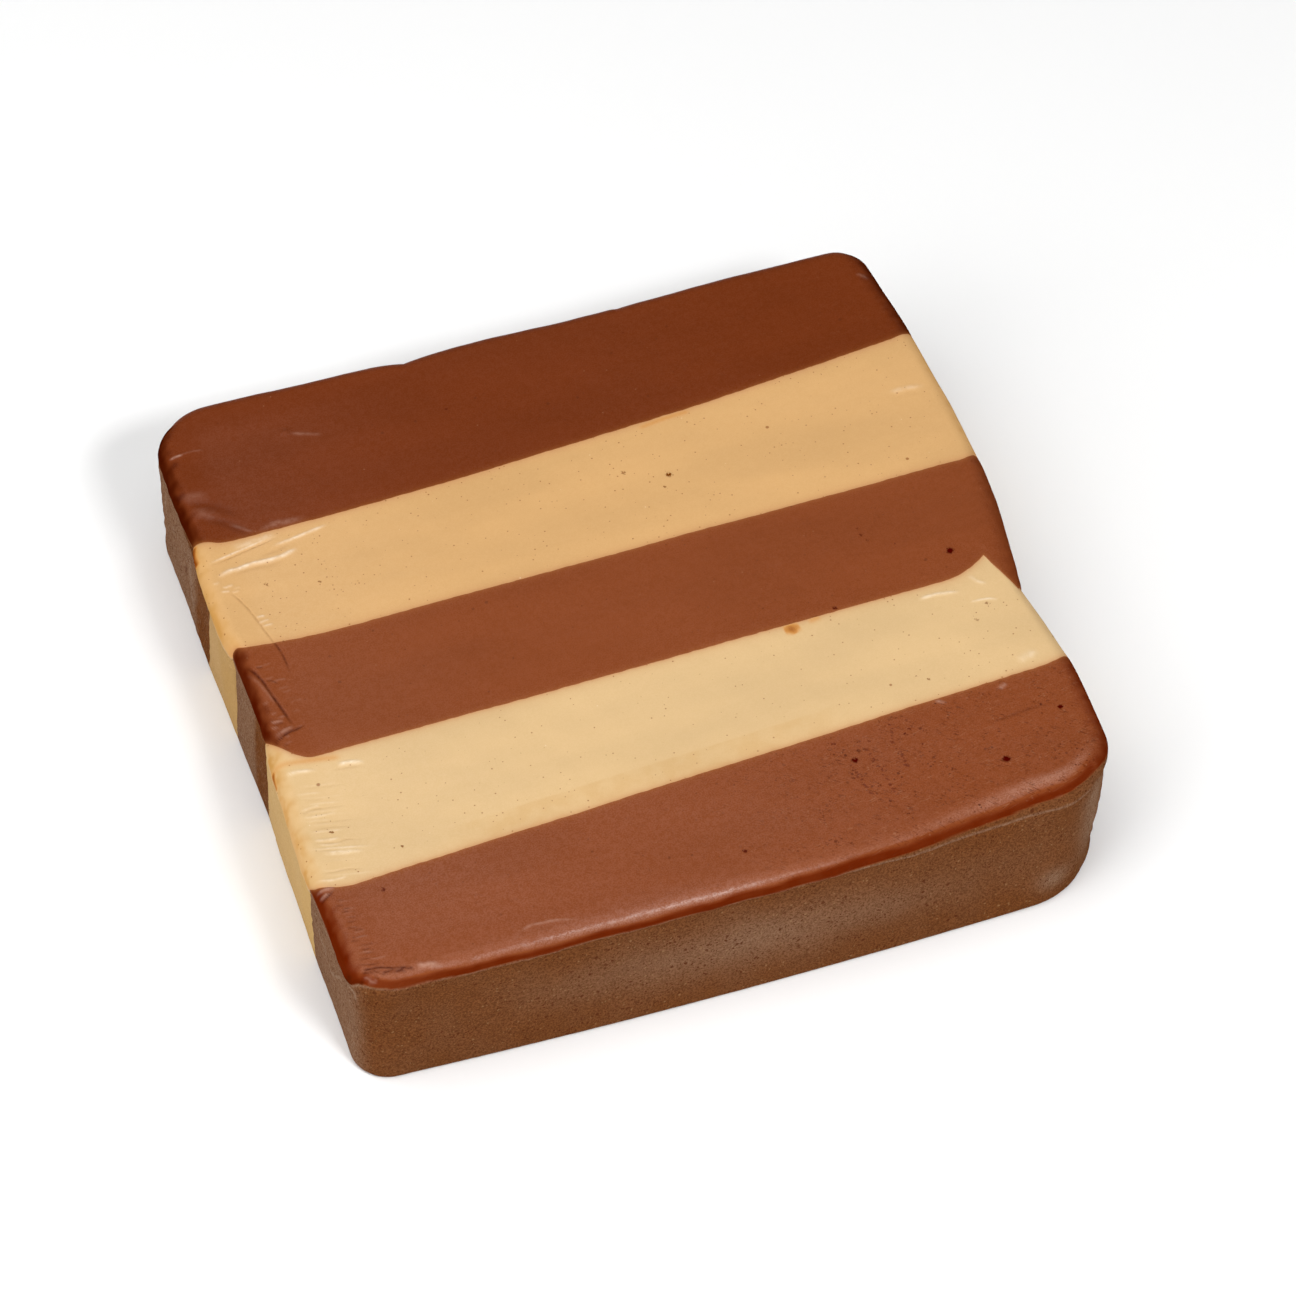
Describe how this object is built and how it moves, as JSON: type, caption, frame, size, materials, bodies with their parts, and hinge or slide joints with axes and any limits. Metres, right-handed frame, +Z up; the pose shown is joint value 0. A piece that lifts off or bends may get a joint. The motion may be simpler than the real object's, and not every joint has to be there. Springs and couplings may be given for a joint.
{
  "type": "layered nougat block",
  "caption": "Flat square block of soft nougat in brown and pale layers that stand side by side and run through it, with a rounded shoulder, rounded corners and a flat foot.",
  "frame": {"origin": "middle of the foot, on the surface that the block lies on", "axes": "+X along the layers to the right of the picture, +Y across them to the back, +Z up"},
  "size_m": [0.0982, 0.0964, 0.019],
  "materials": {
    "dark_nougat": "satin cocoa-brown paste, matte and porous on the walls",
    "light_nougat": "satin pale hazelnut paste with fine brown specks, matte on the walls"
  },
  "bodies": {
    "root": {"dark_back": "dark_nougat", "light_back": "light_nougat", "dark_middle": "dark_nougat", "light_front": "light_nougat", "dark_front": "dark_nougat"}
  },
  "joints": []
}
